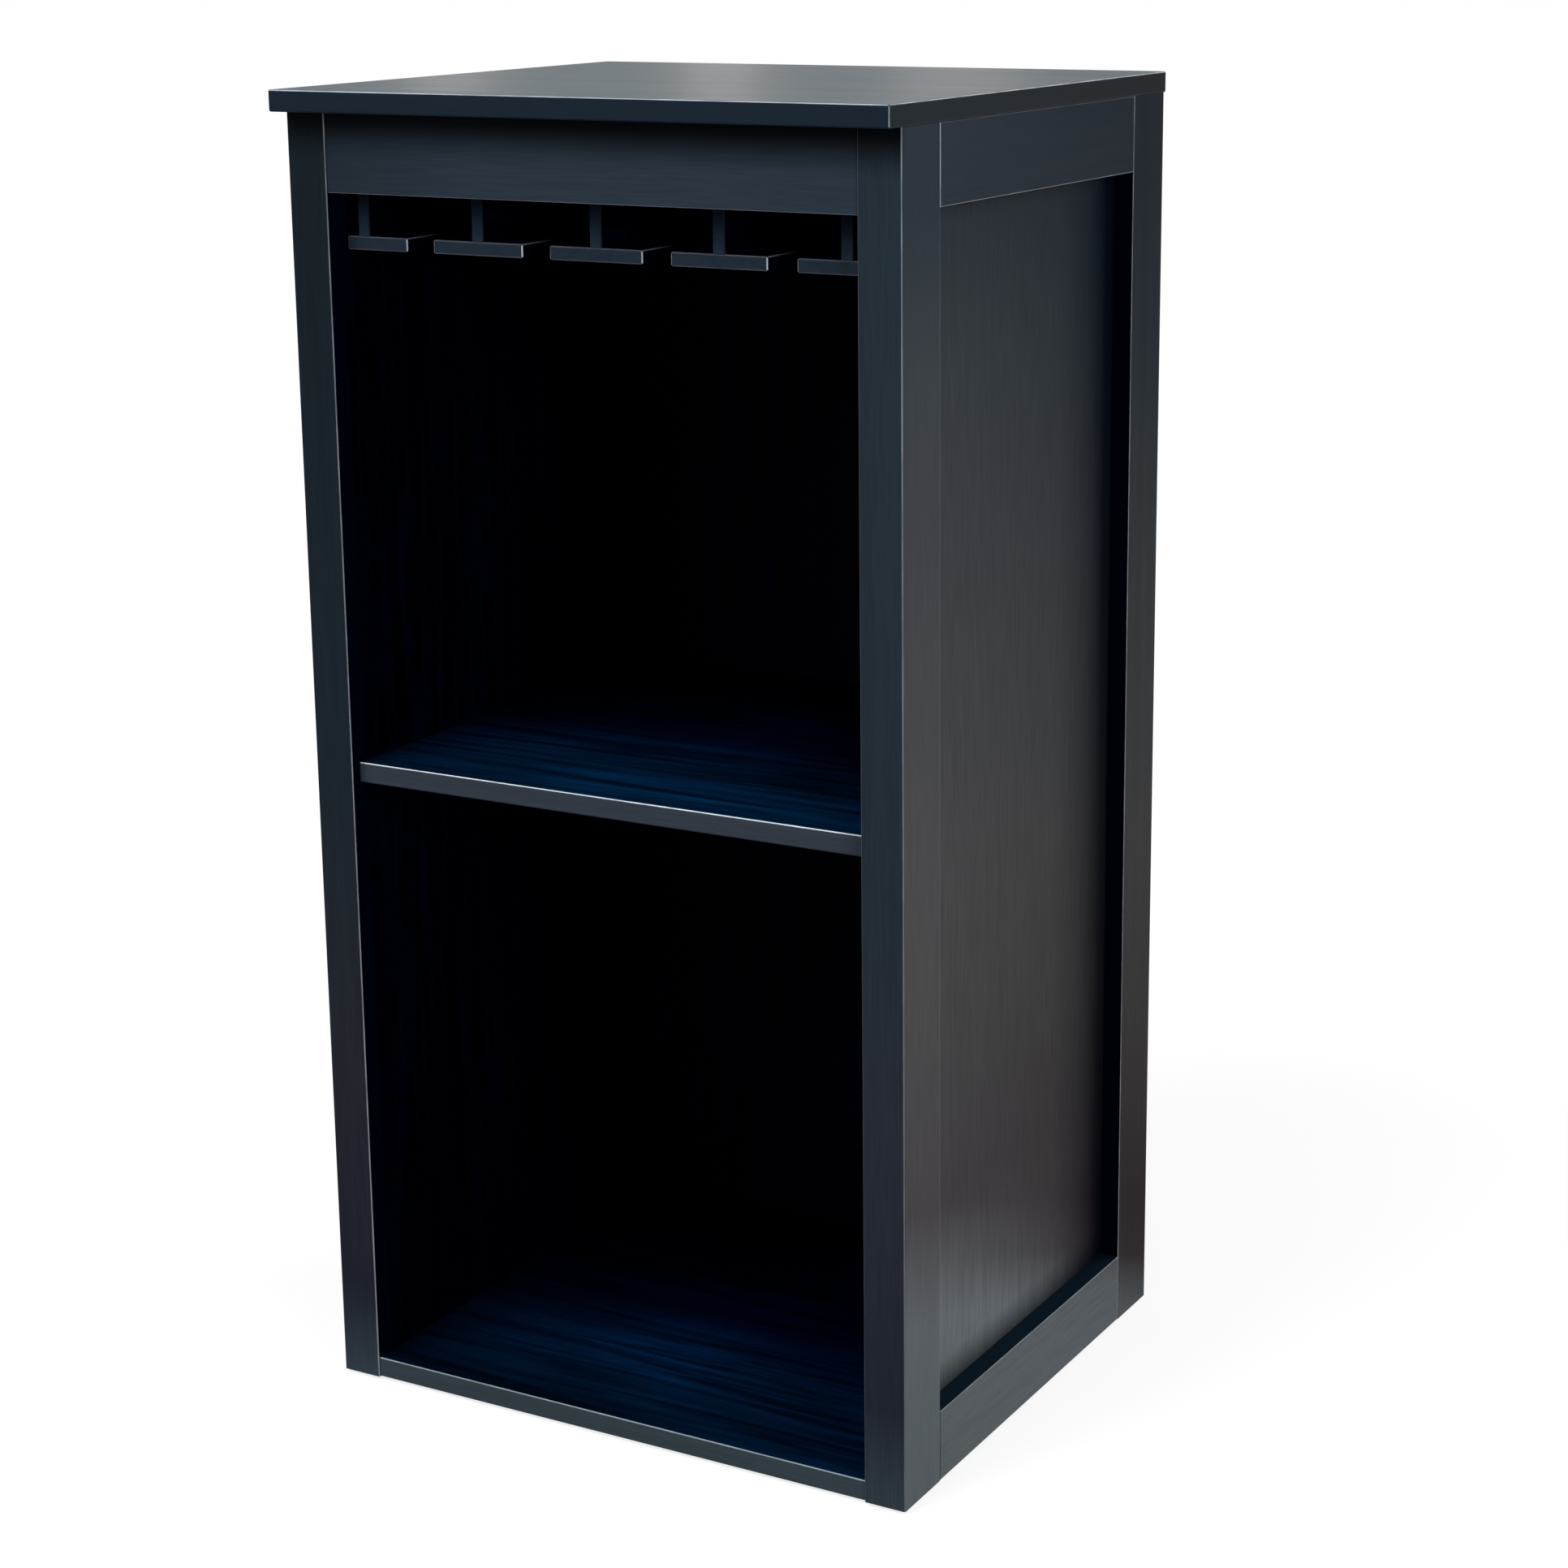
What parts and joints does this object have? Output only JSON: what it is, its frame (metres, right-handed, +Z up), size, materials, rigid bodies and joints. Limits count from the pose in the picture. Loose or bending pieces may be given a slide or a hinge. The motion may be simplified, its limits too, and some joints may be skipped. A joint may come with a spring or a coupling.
{
  "type": "bar cabinet",
  "caption": "Open-fronted bar cabinet with framed side panels, a loose middle shelf and T-shaped rails under the top that hang stemware by the foot.",
  "frame": {"origin": "on the floor, under the middle of the whole cabinet", "axes": "+X to the right seen from the front, +Y to the back, +Z up"},
  "size_m": [0.512, 0.454, 1.019],
  "materials": {
    "black_wood": "satin paint over fine grain",
    "black_top": "satin paint, smoother than the frame",
    "back_board": "matt paint on thin board",
    "steel": "bright zinc",
    "glide_plastic": "plain"
  },
  "bodies": {
    "root": {"front_left_post": "black_wood", "front_right_post": "black_wood", "rear_left_post": "black_wood", "rear_right_post": "black_wood", "front_apron": "black_wood", "rear_top_rail": "black_wood", "left_top_rail": "black_wood", "left_bottom_rail": "black_wood", "right_top_rail": "black_wood", "right_bottom_rail": "black_wood", "left_side_panel": "black_wood", "right_side_panel": "black_wood", "left_top_cleat": "black_wood", "right_top_cleat": "black_wood", "bottom_board": "black_wood", "rack_board": "black_wood", "rack_flange_1": "black_wood", "rack_stem_1": "black_wood", "rack_flange_2": "black_wood", "rack_stem_2": "black_wood", "rack_flange_3": "black_wood", "rack_stem_3": "black_wood", "rack_flange_4": "black_wood", "rack_stem_4": "black_wood", "rack_flange_5": "black_wood", "rack_stem_5": "black_wood", "top_board": "black_top", "back_panel": "back_board", "shelf_pins": "steel", "foot_glides": "glide_plastic", "top_screws": "steel", "back_screws": "steel"},
    "shelf": {"middle_shelf": "black_wood"}
  },
  "joints": [
    {"name": "shelf_slide", "type": "slide", "parent": "root", "child": "shelf", "axis": [0, -1, 0], "range_m": [0, 0.43]}
  ]
}
